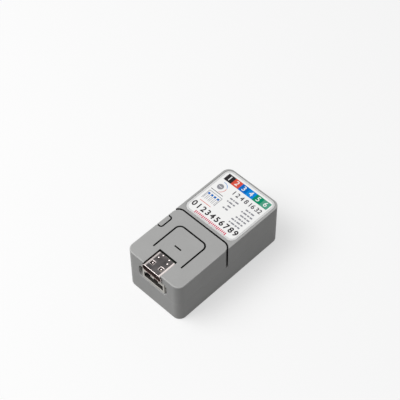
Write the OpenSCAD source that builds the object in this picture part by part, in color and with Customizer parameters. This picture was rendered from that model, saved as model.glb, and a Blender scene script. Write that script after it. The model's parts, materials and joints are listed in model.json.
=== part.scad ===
// Stepper driver module: a small button controller plugged and screwed on a motor driver base.
// Millimetres. The origin is at the middle of the bottom face, +Z up, the data port end towards -Y.

/* [Shells] */
// Thickness of the side walls of both housings
wall = 1.3; // [1.2:0.05:1.5]
// Corner radius of both housings, seen from above
corner_r = 2.8; // [2.2:0.1:3.4]
// Gap round the controller's inset floor and the inset deck
cover_gap = 0.1; // [0.05:0.01:0.2]
// Height of the snap ridges that hold the controller's floor
snap_out = 0.3; // [0.2:0.05:0.4]

/* [Controller] */
// Length of the controller
tile_l = 23.8; // [23:0.1:26]
// Height of the controller
tile_h = 9.5; // [9.3:0.1:11]
// Thickness of the controller's top plate
tile_top = 1.2; // [1:0.05:1.3]
// Thickness of the controller's inset floor
tile_floor = 1.4; // [1.2:0.05:1.6]
// Gap between the controller and the driver block
tile_gap = 0.45; // [0.3:0.05:0.7]

/* [Driver base] */
// Height of the deck that carries the controller
base_h = 8.5; // [8.3:0.1:11]
// Thickness of the deck
deck_t = 1.3; // [1:0.05:1.5]
// Thickness of the driver block's top plate
block_top = 1.3; // [1:0.05:2]
// Thickness of the base tray's floor
floor_t = 1.2; // [1:0.05:1.4]

/* [Boards] */
// Thickness of the controller's circuit board
tile_pcb_t = 1; // [0.8:0.1:1.2]
// Thickness of the driver's circuit board
base_pcb_t = 1.2; // [1:0.1:1.6]
// Height of the posts between the tray's floor and the driver board
post_h = 1.6; // [1.5:0.05:2]
// Gap between a board's edge and the wall
board_gap = 0.3; // [0.2:0.05:0.5]

/* [Data port] */
// Width of the data port's metal shell
port_w = 8.94; // [8.6:0.02:9.2]
// Height of the data port's metal shell
port_h = 3.2; // [3.1:0.02:3.3]
// Length of the data port's metal shell
port_l = 7.2; // [7:0.05:7.6]
// Sheet thickness of the metal shell
port_t = 0.3; // [0.2:0.02:0.35]
// How far the metal shell lies below the top face
port_drop = 0.25; // [0.15:0.05:0.4]
// How far the metal shell stands out of the front face
port_out = 0.35; // [0.1:0.05:0.6]
// Width of the cut in the top face that shows the metal shell
port_cut_w = 7.8; // [7.2:0.1:8]
// Gap round the metal shell
port_gap = 0.15; // [0.1:0.01:0.25]

/* [Signal socket] */
// Width of the four-pin signal socket
signal_w = 10; // [9.6:0.1:10.6]
// Height of the four-pin signal socket
signal_h = 4.4; // [4.2:0.05:4.5]
// Length of the four-pin signal socket
signal_l = 7.2; // [6.8:0.1:7.4]
// Distance of the signal socket behind the front face
signal_back = 0.3; // [0.1:0.05:0.6]
// Width of the opening in the front wall
opening_w = 12.7; // [11.6:0.1:13.4]
// Corner radius of the opening in the front wall
opening_r = 1.5; // [1:0.1:2]

/* [Buttons] */
// Width of the slots round the buttons
slot_w = 0.58; // [0.4:0.02:0.7]
// Width of the sprung tongue that is the user button
button_w = 12.1; // [11.8:0.1:13]
// Thickness of the tongue
button_t = 0.9; // [0.8:0.05:1]
// Radius of the tongue's rear corners
button_r = 1.75; // [1:0.05:2.5]
// Distance from the front face to the tongue's root
button_root = 6.8; // [6.5:0.1:7.1]
// Distance from the controller's rear to the tongue's free end
button_rear = 5.1; // [4.8:0.1:5.4]
// Distance from the tongue's root to the switch below it
press_arm = 8; // [7.6:0.1:8.2]
// Length of the light slit in the tongue
slit_l = 2.9; // [2:0.1:3.5]
// Width of the light slit in the tongue
slit_w = 0.5; // [0.3:0.05:0.6]
// Distance from the tongue's root to the light slit
slit_arm = 4.9; // [4.4:0.1:5.2]
// Length of the reset tab along the side
reset_l = 4.65; // [4:0.05:5]
// Depth of the reset tab's lip on the top face
reset_lip = 1.8; // [1.5:0.05:2]
// Thickness of the reset tab's side panel
reset_t = 1; // [0.9:0.05:1.05]
// Height of the reset tab's side panel
reset_h = 6; // [5.4:0.1:6.4]
// Distance from the controller's rear to the reset tab
reset_rear = 5; // [4.6:0.1:5.4]
// Gap round a switch plunger in its switch
guide_gap = 0.15; // [0.12:0.01:0.2]

/* [Terminal] */
// Distance between two poles of the terminal
pole_pitch = 3.5; // [3.5:0.01:3.81]
// Gap between the terminal and the side walls
terminal_gap = 0.2; // [0.15:0.05:0.4]
// Height of the terminal housing
terminal_h = 7.2; // [6.8:0.1:8]
// Length of the terminal housing
terminal_l = 9; // [8.6:0.1:9.4]
// Thickness of the terminal housing's walls
terminal_t = 0.9; // [0.7:0.05:1]
// Side of a square terminal pin
terminal_pin = 1; // [0.8:0.05:1.1]

/* [Step switch] */
// Length of the four-way step switch along the wall
dip_l = 6.4; // [6.2:0.1:6.6]
// Height of the step switch
dip_h = 5.4; // [5:0.1:5.8]
// Depth of the step switch
dip_d = 3; // [2.6:0.1:3.1]
// Distance between two sliders
dip_pitch = 1.4; // [1.3:0.02:1.45]
// Travel of a slider
dip_travel = 1.5; // [1.2:0.05:1.7]

/* [Current trimmer] */
// Gap before and behind the trimmer in the row of controls
control_gap = 0.26; // [0.2:0.02:1]
// Side of the square trimmer body
trimmer_w = 4.4; // [4.2:0.1:4.5]
// Depth of the trimmer body
trimmer_d = 3; // [2.6:0.1:3.2]
// Radius of the trimmer's rotor
trimmer_r = 1.5; // [1.3:0.05:1.6]
// Radius of the access hole in the wall
trimmer_hole_r = 1.75; // [1.7:0.01:2]

/* [Label] */
// Width of the label
label_w = 22.2; // [20:0.1:22.4]
// Length of the label
label_l = 22.2; // [20:0.1:22.4]
// Thickness of the label
label_t = 0.15; // [0.1:0.01:0.2]
// Corner radius of the label
label_r = 2.4; // [1:0.1:3]

/* [Fasteners] */
// Radius of the socket head of the long screw
hub_head_r = 1.9; // [1.8:0.02:1.95]
// Height of the socket head of the long screw
hub_head_h = 2; // [1.8:0.05:2.2]
// Radius of the long screw's shank
hub_shank_r = 0.98; // [0.95:0.01:1]
// Length of the long screw's shank
hub_shank_l = 9.8; // [9.4:0.1:10.2]
// Radius of the four shell screws' heads
screw_head_r = 1.9; // [1.7:0.05:2]
// Radius of the four shell screws' shanks
screw_shank_r = 0.8; // [0.7:0.02:0.85]
// Length of the four shell screws
screw_l = 7.2; // [6.8:0.1:7.5]
// Outer radius of the brass insert in the controller's floor
insert_r = 1.6; // [1.5:0.02:1.7]

/* [Fits] */
// Gap of a sliding or turning fit
run_gap = 0.05; // [0.03:0.01:0.08]
// Gap round a piece that is set into another
set_gap = 0.03; // [0.02:0.01:0.05]

/* [Hidden] */
$fn = 48;
// Overlap that lets a cut run clear of a face
eps = 0.05;

// Six poles in a row set the room between the side walls
pole_count = 6;
inner_w = pole_count * pole_pitch + 2 * terminal_gap;
inner_x = inner_w / 2;
body_w = inner_w + 2 * wall;
half_w = body_w / 2;
// The row of switch, trimmer and terminal sets the length of the tall block
inner_r = corner_r - wall;
corner_clear = inner_r - sqrt(pow(inner_r, 2) - pow(inner_r - board_gap, 2));
terminal_back = 0.2;
block_l = wall + corner_clear + board_gap + dip_l + control_gap + trimmer_w + control_gap
    + terminal_pin + set_gap + terminal_l + terminal_back;
body_l = tile_l + tile_gap + block_l;
body_h = base_h + tile_h;
front_y = -body_l / 2;
rear_y = body_l / 2;
tile_rear_y = front_y + tile_l;
block_front_y = tile_rear_y + tile_gap;
block_room_y = block_front_y + wall;

// Heights of the boards
port_top_z = body_h - port_drop;
port_mid_z = port_top_z - port_h / 2;
tile_pcb_top = port_top_z - port_h;
tile_pcb_z = tile_pcb_top - tile_pcb_t;
tile_floor_top = base_h + tile_floor;
base_pcb_z = floor_t + post_h;
base_pcb_top = base_pcb_z + base_pcb_t;
deck_under = base_h - deck_t;
block_under = body_h - block_top;

// Data port and front opening
port_front_y = front_y - port_out;
port_rear_y = port_front_y + port_l;
port_cut_rear = 0.65;
port_cut_y = port_rear_y + port_cut_rear;
port_leg_t = 0.3;
port_leg_l = 1;
port_leg_up = 0.2;
port_leg_rear = 1.2;
port_leg_pitch = 3.6;
port_leg_x = port_w / 2 - port_leg_t / 2;
port_tongue_t = 0.7;
port_tongue_back = 0.7;
port_tongue_more = 0.9;
port_plug_l = 1.2;
contact_count = 12;
contact_pitch = 0.5;
contact_w = 0.26;
contact_l = 3.6;
contact_t = 0.05;
contact_back = 1.1;
port_plug_y = port_rear_y - port_t - set_gap;
port_window = 1.35;
port_window_x = 1.94;
port_window_back = 2.6;
finger_w = 0.5;
finger_l = 1.9;
finger_back = 2.25;
finger_t = 0.2;
finger_z = port_top_z - port_t - finger_t;
signal_front_y = front_y + signal_back;
signal_rear_y = signal_front_y + signal_l;
signal_z = tile_pcb_z - signal_h;
signal_wall = 0.7;
signal_roof = 1.2;
signal_mid_z = (signal_z + signal_wall + tile_pcb_z - signal_roof) / 2;
signal_pin = 0.5;
signal_pin_back = 1.6;
signal_pin_out = 0.6;
signal_pitch = 2;
signal_count = 4;
signal_notch_w = 2;
signal_notch_l = 2.2;
signal_notch_x = 1.8;
signal_notch_shift = -0.5;
lug_t = 0.3;
lug_l = 3;
lug_h = 2.6;
lug_foot = 1;
lug_back = 1.4;
opening_gap = 0.1;
opening_z = signal_z - opening_gap;
opening_top_z = tile_pcb_top + opening_gap / 2;

// User button and its switch
button_root_y = front_y + button_root;
button_end_y = tile_rear_y - button_rear;
button_under = body_h - button_t;
press_y = button_root_y + press_arm;
slit_y = button_root_y + slit_arm;
nub_r = 1;
switch_w = 3;
switch_l = 4;
switch_h = 1.4;
plunger_r = 0.8;
plunger_up = 0.6;
plunger_down = 0.65;
press_travel = 0.25;

// Reset tab and its switch
reset_y1 = tile_rear_y - reset_rear;
reset_y0 = reset_y1 - reset_l;
reset_y = (reset_y0 + reset_y1) / 2;
reset_root_z = body_h - reset_h;
reset_in_x = -half_w + reset_t;
reset_r = 0.55;
reset_slot_w = slot_w - 0.08;
reset_switch_w = 2.2;
reset_switch_l = 3.8;
reset_switch_h = 1.6;
reset_switch_gap = 1.1;
reset_switch_x = -inner_x + reset_switch_gap;
reset_press_z = tile_pcb_top + reset_switch_h / 2;
reset_plunger_l = 1;
reset_plunger_h = 0.7;
reset_plunger_gap = 0.05;
reset_plunger_tip = -inner_x + reset_plunger_gap;
reset_plunger_in = 0.4;
reset_nub_r = 0.7;
reset_travel = 0.2;

// Long screw that holds the controller to the base
hub_rear = 7.8;
hub_y = tile_rear_y - hub_rear;
hub_seat = 1.2;
hub_seat_z = floor_t + hub_seat;
hub_seat_t = 1;
hub_boss_z = hub_seat_z + hub_seat_t;
hub_boss_r = 2.6;
hub_tray_wall = 1;
hub_tray_r = hub_head_r + hub_tray_wall;
hub_play = 0.17;
hub_bore_r = hub_shank_r + hub_play;
hub_head_gap = 0.1;
hub_key = 1.5;
insert_up = 0.8;
insert_z = base_h + insert_up;
insert_under = 0.95;
insert_top = tile_pcb_z - insert_under;
insert_wall = 0.9;
insert_boss_r = insert_r + insert_wall;

// Shell screws and board posts
screw_wall_gap = 2.5;
screw_x = inner_x - screw_wall_gap;
screw_front_gap = 2.3;
screw_front_y = front_y + wall + screw_front_gap;
screw_rear_gap = 1.75;
screw_rear_y = tile_rear_y - screw_rear_gap;
screw_boss_r = 1.9;
screw_head_h = 1.1;
screw_up = 0.05;
pilot_cap = 0.5;
pilot_top = base_h - pilot_cap;
post_r = 1.3;
post_rear = 10.3;
post_y = rear_y - wall - post_rear;
snap_l = 6;

// Two pin rows between controller and base, spread over the room behind the front screws
pin_w = 0.64;
row_w = 2.5;
row_wall_gap = 0.56;
row_x = inner_x - row_wall_gap - row_w / 2;
row_rear = 3.9;
row_end_y = tile_rear_y - row_rear;
row_gap = 1.7;
left_pins = 4;
right_pins = 5;
pin_pitch = (row_end_y - row_gap - screw_boss_r - screw_front_y) / right_pins;
pin_hole = 0.9;
pin_slot_w = 1.6;
header_gap = 0.7;
header_h = deck_under - header_gap - base_pcb_top;
pin_tail = 0.8;
pin_under = 0.65;
pin_top_z = tile_pcb_z - pin_under;
pin_end_gap = 0.3;
pin_hole_top = pin_top_z + pin_end_gap;

// Terminal at the rear
terminal_end_y = rear_y - terminal_back;
terminal_start_y = terminal_end_y - terminal_l;
terminal_w = pole_count * pole_pitch;
terminal_end_t = 0.4;
terminal_back_t = 1;
terminal_gap_z = 0.1;
terminal_pin_z = base_pcb_top + terminal_h / 2;
terminal_pin_back = 4.3;
terminal_pin_end = terminal_end_y - terminal_pin_back;
key_w = 1.6;
key_l = 1.6;

// Step switch and trimmer behind the left wall
control_x = -inner_x + board_gap;
dip_y = block_room_y + corner_clear + board_gap + dip_l / 2;
dip_mid_z = base_pcb_top + dip_h / 2;
dip_slider_w = 0.8;
dip_slider_h = 1.3;
dip_slider_out = 0.7;
dip_slot_d = 1;
dip_count = 4;
slider_low_z = dip_mid_z - (dip_slider_h + dip_travel) / 2;
dip_window_more = 0.6;
dip_window_l = dip_l + dip_window_more;
dip_window_gap = 0.5;
trimmer_y = dip_y + dip_l / 2 + control_gap + trimmer_w / 2;
trimmer_z = base_pcb_top + trimmer_w / 2;
trimmer_pocket = 0.6;
trimmer_out = 0.6;
trimmer_slot_w = 0.5;
trimmer_slot_d = 0.5;

// Parts on the controller's board
radio_w = 7;
radio_h = 0.94;
radio_wall_gap = 1.8;
serial_w = 3.6;
serial_h = 0.8;
serial_wall_gap = 3.4;
serial_arm = 3.2;
light_w = 2;
light_l = 1.6;
light_h = 0.8;
small_l = 1;
small_w = 0.5;
small_h = 0.45;
small_x = 6;
small_pitch = 1.4;
small_rear = 4;

// Parts on the driver board
chip_w = 4.4;
chip_l = 9.7;
chip_h = 1;
chip_up = 0.1;
lead_out = 1;
lead_w = 0.22;
lead_pitch = 0.65;
lead_count = 14;
chip_gap = 0.3;
chip_front = 1.1;
chip_x = control_x + dip_d + chip_gap + lead_out + chip_w / 2;
chip_y = block_room_y + chip_front + chip_l / 2;
can_r = 4;
can_h = 10.2;
can_foot_h = 1.2;
can_foot_w = 8.3;
can_gap = 0.6;
can_front = 1.3;
can_x = inner_x - can_gap - can_foot_w / 2;
can_y = block_room_y + can_front + can_foot_w / 2;
sense_l = 3.2;
sense_w = 1.6;
sense_h = 0.6;
sense_gap = 0.4;

// Supply parts in the low room under the deck
supply_gap = 0.6;
supply_top_gap = 1.1;
supply_h = deck_under - supply_top_gap - base_pcb_top;
coil_w = 4.2;
supply_y = front_y + wall + board_gap + supply_gap + coil_w / 2;
buck_w = 3;
buck_h = 1.1;
buck_gap = 1.8;
diode_w = 4.3;
diode_l = 2.6;
diode_gap = 0.8;
diode_y = hub_y - hub_boss_r - diode_gap - diode_l / 2;
passive_l = 1.6;
passive_w = 0.8;
passive_h = 0.7;
passive_x = 4.6;
passive_pitch = 4;
passive_rear = 2;

label_shift = 0.25;
label_y = (block_front_y + rear_y) / 2 + label_shift;
label_recess = 0.2;
label_gap = 0.05;

shell_grey = [0.64, 0.64, 0.64];
board_green = [0.05, 0.22, 0.13];
metal = [0.78, 0.77, 0.75];
gold = [0.85, 0.68, 0.3];
black = [0.07, 0.07, 0.08];
ivory = [0.88, 0.87, 0.83];

// A rectangle with four round corners, centred
module round_rect(w, l, r) {
    square([w - 2 * r, l], center = true);
    square([w, l - 2 * r], center = true);
    for (x = [-1, 1], y = [-1, 1])
        translate([x * (w / 2 - r), y * (l / 2 - r)]) circle(r);
}

// A slab from height z0 to height z1 with the outline of its children
module slab(z0, z1) {
    translate([0, 0, z0]) linear_extrude(z1 - z0) children();
}

// A block between two corners
module span(low, high) {
    translate(low) cube(high - low);
}

// An outline drawn in X and Z, pushed along Y from y0 to y1
module along_y(y0, y1) {
    translate([0, y1, 0]) rotate([90, 0, 0]) linear_extrude(y1 - y0) children();
}

// The data port's outline in X and Z, grown by a gap
module port_outline(grow) {
    r = port_h / 2;
    translate([0, port_mid_z]) {
        square([port_w - 2 * r, port_h + 2 * grow], center = true);
        for (x = [-1, 1]) translate([x * (port_w / 2 - r), 0]) circle(r + grow);
    }
}

module body_outline(grow = 0) {
    round_rect(body_w + 2 * grow, body_l + 2 * grow, corner_r + grow);
}

module tile_outline(grow = 0) {
    translate([0, (front_y + tile_rear_y) / 2])
        round_rect(body_w + 2 * grow, tile_l + 2 * grow, corner_r + grow);
}

// The tall block's outline: what the controller and its gap leave of the body
module block_outline() {
    difference() {
        body_outline();
        tile_outline(tile_gap);
    }
}

module block_room() {
    room_l = rear_y - wall - block_room_y;
    translate([0, block_room_y + room_l / 2]) round_rect(inner_w, room_l, inner_r);
}

module label_outline(grow = 0) {
    translate([0, label_y]) round_rect(label_w + 2 * grow, label_l + 2 * grow, label_r + grow);
}

// The tongue's outline, grown on its three free sides
module button_outline(grow = 0) {
    r = button_r + grow;
    x = button_w / 2 + grow;
    end = button_end_y + grow;
    translate([-x, button_root_y]) square([2 * x, end - r - button_root_y]);
    translate([-x + r, button_root_y]) square([2 * (x - r), end - button_root_y]);
    for (s = [-1, 1]) translate([s * (x - r), end - r]) circle(r);
}

// The reset tab's outline on the top face, grown on its three free sides
module reset_outline(grow = 0, out = 0) {
    r = reset_r + grow;
    x = -half_w + reset_lip + grow;
    y0 = reset_y0 - grow;
    y1 = reset_y1 + grow;
    translate([-half_w - out, y0]) square([x - r + half_w + out, y1 - y0]);
    translate([-half_w - out, y0 + r]) square([x + half_w + out, y1 - y0 - 2 * r]);
    for (y = [y0 + r, y1 - r]) translate([x - r, y]) circle(r);
}

// Centres of the pins in a row, from the rear end forwards
function pin_y(i) = row_end_y - (i + 0.5) * pin_pitch;

// Calls its children at each pin of both rows
module at_pins() {
    for (i = [0 : left_pins - 1]) translate([-row_x, pin_y(i), 0]) children();
    for (i = [0 : right_pins - 1]) translate([row_x, pin_y(i), 0]) children();
}

// A block that runs along a pin row, with a given width
module row_span(side, count, w, z0, z1) {
    span([side * row_x - w / 2, row_end_y - count * pin_pitch, z0],
         [side * row_x + w / 2, row_end_y, z1]);
}

function pole_x(i) = (i - (pole_count - 1) / 2) * pole_pitch;
function slider_y(i) = dip_y + (i - (dip_count - 1) / 2) * dip_pitch;
function signal_x(i) = (i - (signal_count - 1) / 2) * signal_pitch;

// Flat chips of one size at a list of places on a board
module chips(places, size, z) {
    for (p = places)
        translate([p[0], p[1], z + size[2] / 2]) rotate([0, 0, p[2]]) cube(size, center = true);
}

module controller_top_shell() {
    color(shell_grey) difference() {
        slab(base_h, body_h) tile_outline();
        slab(base_h - eps, body_h - tile_top) tile_outline(-wall);
        // Data port: a tunnel for the metal shell and a cut that opens it to the top
        along_y(front_y - eps, port_cut_y) port_outline(port_gap);
        span([-port_cut_w / 2, front_y - eps, port_mid_z], [port_cut_w / 2, port_cut_y, body_h + eps]);
        // Opening for the signal socket
        along_y(front_y - eps, front_y + wall + eps)
            translate([0, (opening_z + opening_top_z) / 2])
                round_rect(opening_w, opening_top_z - opening_z, opening_r);
        slab(body_h - tile_top - eps, body_h + eps) button_outline(slot_w);
        slab(reset_root_z, body_h + eps) reset_outline(reset_slot_w, eps);
        snap_ridges(inner_x, snap_out + cover_gap);
    }
}

// Round ridges along both sides of the controller's floor
module snap_ridges(x, r) {
    for (s = [-1, 1])
        translate([s * x, hub_y - snap_l / 2, base_h + tile_floor / 2])
            rotate([-90, 0, 0]) cylinder(r = r, h = snap_l);
}

module user_button() {
    color(shell_grey) {
        difference() {
            slab(button_under, body_h) button_outline();
            span([-port_cut_w / 2, front_y, 0], [port_cut_w / 2, port_cut_y, body_h + eps]);
            along_y(front_y, port_cut_y) port_outline(port_gap);
            span([-slit_l / 2, slit_y - slit_w / 2, 0], [slit_l / 2, slit_y + slit_w / 2, body_h + eps]);
        }
        nub_z = tile_pcb_top + switch_h + plunger_up;
        translate([0, press_y, nub_z]) cylinder(r = nub_r, h = button_under + eps - nub_z);
    }
}

module reset_button() {
    color(shell_grey) {
        slab(body_h - tile_top, body_h) reset_outline();
        span([-half_w, reset_y0, reset_root_z], [reset_in_x, reset_y1, body_h - tile_top / 2]);
        translate([reset_in_x - eps, reset_y, reset_press_z])
            rotate([0, 90, 0]) cylinder(r = reset_nub_r, h = reset_plunger_tip - reset_in_x + eps);
    }
}

module controller_floor() {
    color(shell_grey) difference() {
        union() {
            slab(base_h, tile_floor_top) tile_outline(-wall - cover_gap);
            snap_ridges(inner_x - cover_gap, snap_out);
            translate([0, hub_y, tile_floor_top - eps])
                cylinder(r = insert_boss_r, h = insert_top - tile_floor_top + eps);
        }
        translate([0, hub_y, insert_z]) cylinder(r = insert_r, h = insert_top - insert_z + eps);
        translate([0, hub_y, base_h - eps]) cylinder(r = hub_bore_r, h = insert_z - base_h + 2 * eps);
        row_span(-1, left_pins, pin_slot_w, base_h - eps, tile_floor_top + eps);
        row_span(1, right_pins, pin_slot_w, base_h - eps, tile_floor_top + eps);
        span([-signal_w / 2 - cover_gap, front_y, signal_z - set_gap],
             [signal_w / 2 + cover_gap, signal_rear_y + cover_gap, tile_floor_top + eps]);
    }
}

module controller_board() {
    color(board_green) difference() {
        slab(tile_pcb_z, tile_pcb_top) tile_outline(-wall - board_gap);
        port_legs(run_gap);
    }
}

// Four legs that hold the data port in the board
module port_legs(grow) {
    leg = [port_leg_t + 2 * grow, port_leg_l + 2 * grow, port_mid_z - tile_pcb_z - port_leg_up + grow];
    y = port_rear_y - port_leg_rear - leg[1] / 2;
    for (s = [-1, 1], i = [0, 1])
        translate([s * port_leg_x - leg[0] / 2, y - i * port_leg_pitch, tile_pcb_z + port_leg_up - grow])
            cube(leg);
}

module data_port_shell() {
    color(metal) {
        difference() {
            along_y(port_front_y, port_rear_y) port_outline(0);
            along_y(port_front_y - eps, port_rear_y - port_t) port_outline(-port_t);
            for (s = [-1, 1])
                translate([s * port_window_x, port_front_y + port_window_back, port_top_z])
                    cube([port_window, port_window, port_h / 2], center = true);
        }
        difference() {
            port_legs(0);
            along_y(port_front_y - eps, port_rear_y - port_t) port_outline(-port_t);
        }
        // Spring fingers under the two windows
        for (s = [-1, 1])
            translate([s * port_window_x - finger_w / 2, port_front_y + finger_back, finger_z])
                cube([finger_w, finger_l, finger_t + eps]);
    }
}

module data_port_tongue() {
    color(black) {
        along_y(port_plug_y - port_plug_l, port_plug_y) port_outline(-port_t - set_gap);
        tongue_w = port_w - port_h + port_tongue_more;
        span([-tongue_w / 2, port_front_y + port_tongue_back, port_mid_z - port_tongue_t / 2],
             [tongue_w / 2, port_plug_y - port_plug_l + eps, port_mid_z + port_tongue_t / 2]);
    }
}

module data_port_contacts() {
    contact = [contact_w, contact_l, contact_t];
    color(gold)
        for (i = [0 : contact_count - 1], s = [-1, 1])
            translate([(i - (contact_count - 1) / 2) * contact_pitch,
                       port_front_y + contact_back + contact_l / 2,
                       port_mid_z + s * (port_tongue_t + contact_t) / 2])
                cube(contact, center = true);
}

module signal_socket() {
    color(ivory) difference() {
        span([-signal_w / 2, signal_front_y, signal_z], [signal_w / 2, signal_rear_y, tile_pcb_z]);
        span([-signal_w / 2 + signal_wall, signal_front_y - eps, signal_z + signal_wall],
             [signal_w / 2 - signal_wall, signal_rear_y - 2 * signal_wall, tile_pcb_z - signal_roof]);
        for (s = [-1, 1])
            translate([s * signal_notch_x + signal_notch_shift - signal_notch_w / 2, signal_front_y - eps,
                       tile_pcb_z - signal_roof - eps])
                cube([signal_notch_w, signal_notch_l + eps, signal_roof + 2 * eps]);
        for (i = [0 : signal_count - 1])
            translate([signal_x(i), signal_rear_y - signal_wall, signal_mid_z])
                cube([signal_pin + 2 * set_gap, 4 * signal_wall, signal_pin + 2 * set_gap], center = true);
    }
}

module signal_pins() {
    half = signal_pin / 2;
    color(gold)
        for (i = [0 : signal_count - 1])
            span([signal_x(i) - half, signal_front_y + signal_pin_back, signal_mid_z - half],
                 [signal_x(i) + half, signal_rear_y + signal_pin_out, signal_mid_z + half]);
}

// Bent metal lugs that solder the socket's two ends to the board
module signal_lugs() {
    y0 = signal_front_y + lug_back;
    color(metal)
        for (s = [0, 1]) mirror([s, 0, 0]) {
            span([signal_w / 2, y0, tile_pcb_z - lug_h], [signal_w / 2 + lug_t, y0 + lug_l, tile_pcb_z]);
            span([signal_w / 2, y0, tile_pcb_z - lug_t],
                 [signal_w / 2 + lug_foot, y0 + lug_l, tile_pcb_z]);
        }
}

module user_switch() {
    color(metal) difference() {
        translate([-switch_w / 2, press_y - switch_l / 2, tile_pcb_top])
            cube([switch_w, switch_l, switch_h]);
        translate([0, press_y, tile_pcb_top + switch_h - plunger_down - press_travel - run_gap])
            cylinder(r = plunger_r + guide_gap, h = switch_h);
    }
}

module user_switch_plunger() {
    color(black) translate([0, press_y, tile_pcb_top + switch_h - plunger_down])
        cylinder(r = plunger_r, h = plunger_down + plunger_up);
}

module reset_plunger_block(grow, x0, x1) {
    span([x0, reset_y - reset_plunger_l / 2 - grow, reset_press_z - reset_plunger_h / 2 - grow],
         [x1, reset_y + reset_plunger_l / 2 + grow, reset_press_z + reset_plunger_h / 2 + grow]);
}

module reset_switch() {
    color(metal) difference() {
        translate([reset_switch_x, reset_y - reset_switch_l / 2, tile_pcb_top])
            cube([reset_switch_w, reset_switch_l, reset_switch_h]);
        reset_plunger_block(guide_gap, reset_switch_x - eps,
                            reset_switch_x + reset_plunger_in + reset_travel + run_gap);
    }
}

module reset_switch_plunger() {
    color(black) reset_plunger_block(0, reset_plunger_tip, reset_switch_x + reset_plunger_in);
}

module radio_chip() {
    x = inner_x - radio_wall_gap - radio_w / 2;
    color(black) chips([[x, hub_y, 0]], [radio_w, radio_w, radio_h], tile_pcb_top);
}

module serial_chip() {
    x = -inner_x + serial_wall_gap + serial_w / 2;
    color(black) chips([[x, button_root_y + serial_arm, 0]], [serial_w, serial_w, serial_h], tile_pcb_top);
}

// A bent metal strip that stands on the board's rear edge
module antenna() {
    antenna_y = tile_rear_y - wall - board_gap - 0.6;
    antenna_x = -1;
    antenna_w = 8;
    antenna_d = 1.6;
    antenna_h = 1.9;
    antenna_t = 0.25;
    color(metal) {
        span([antenna_x, antenna_y - antenna_t, tile_pcb_top],
             [antenna_x + antenna_w, antenna_y, tile_pcb_top + antenna_h]);
        span([antenna_x, antenna_y - antenna_d, tile_pcb_top + antenna_h - antenna_t],
             [antenna_x + antenna_w, antenna_y, tile_pcb_top + antenna_h]);
    }
}

module status_light() {
    color(ivory) chips([[0, slit_y, 0]], [light_w, light_l, light_h], tile_pcb_top);
}

module controller_passives() {
    color([0.55, 0.45, 0.35])
        chips([for (i = [0, 1]) [-small_x, press_y + i * small_pitch, 0],
               for (i = [0, 1]) [-small_x / 2 + i * small_pitch, press_y + small_rear, 90],
               for (i = [0 : 2]) [small_x / 2 + i * small_pitch, button_root_y + small_pitch, 0]],
              [small_l, small_w, small_h], tile_pcb_top);
}

// A socket strip stands on the floor and carries the board
module socket_strip(side, count) {
    color(black) difference() {
        row_span(side, count, row_w, tile_floor_top, tile_pcb_z);
        for (i = [0 : count - 1])
            translate([side * row_x - pin_hole / 2, pin_y(i) - pin_hole / 2, tile_floor_top - eps])
                cube([pin_hole, pin_hole, pin_hole_top - tile_floor_top + eps]);
    }
}

module socket_strip_left() { socket_strip(-1, left_pins); }
module socket_strip_right() { socket_strip(1, right_pins); }

module threaded_insert() {
    color(gold) translate([0, hub_y, insert_z]) difference() {
        cylinder(r = insert_r - set_gap, h = insert_top - insert_z);
        translate([0, 0, -eps]) cylinder(r = hub_shank_r + set_gap, h = insert_top - insert_z + 2 * eps);
    }
}

// Calls its children at each of the four shell screws
module at_screws() {
    for (x = [-screw_x, screw_x], y = [screw_front_y, screw_rear_y]) translate([x, y, 0]) children();
}

// Rear opening for the terminal, half in the tray and half in the upper shell
module terminal_opening() {
    span([-terminal_w / 2 - terminal_gap_z, rear_y - corner_r, base_pcb_top - terminal_gap_z],
         [terminal_w / 2 + terminal_gap_z, rear_y + eps, base_pcb_top + terminal_h + terminal_gap_z]);
}

module base_tray() {
    color(shell_grey) difference() {
        union() {
            difference() {
                slab(0, base_h) body_outline();
                slab(floor_t, base_h + eps) body_outline(-wall);
            }
            translate([0, 0, floor_t - eps]) {
                at_screws() cylinder(r = screw_boss_r, h = post_h + eps);
                for (s = [-1, 1])
                    translate([s * screw_x, post_y, 0]) cylinder(r = post_r, h = post_h + eps);
                translate([0, hub_y, 0]) cylinder(r = hub_tray_r, h = hub_boss_z - floor_t + eps);
            }
        }
        // Long screw: a seat for its head and a clear hole
        translate([0, hub_y, -eps]) cylinder(r = hub_head_r + hub_head_gap, h = hub_seat_z + eps);
        translate([0, hub_y, hub_seat_z - eps])
            cylinder(r = hub_bore_r, h = hub_boss_z - hub_seat_z + 2 * eps);
        at_screws() {
            translate([0, 0, -eps]) cylinder(r = screw_shank_r + hub_head_gap, h = base_pcb_z + 2 * eps);
            translate([0, 0, -eps]) cylinder(r = screw_head_r + run_gap, h = screw_up + eps);
            translate([0, 0, screw_up])
                cylinder(r1 = screw_head_r + run_gap, r2 = screw_shank_r + run_gap, h = screw_head_h);
        }
        terminal_opening();
        // Openings in the left wall for the step switch and the trimmer
        span([-half_w - eps, dip_y - dip_window_l / 2, slider_low_z - dip_window_gap],
             [-inner_x + eps, dip_y + dip_window_l / 2, base_h + eps]);
        translate([-half_w - eps, trimmer_y, trimmer_z])
            rotate([0, 90, 0]) cylinder(r = trimmer_hole_r, h = wall + 2 * eps);
    }
}

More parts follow.
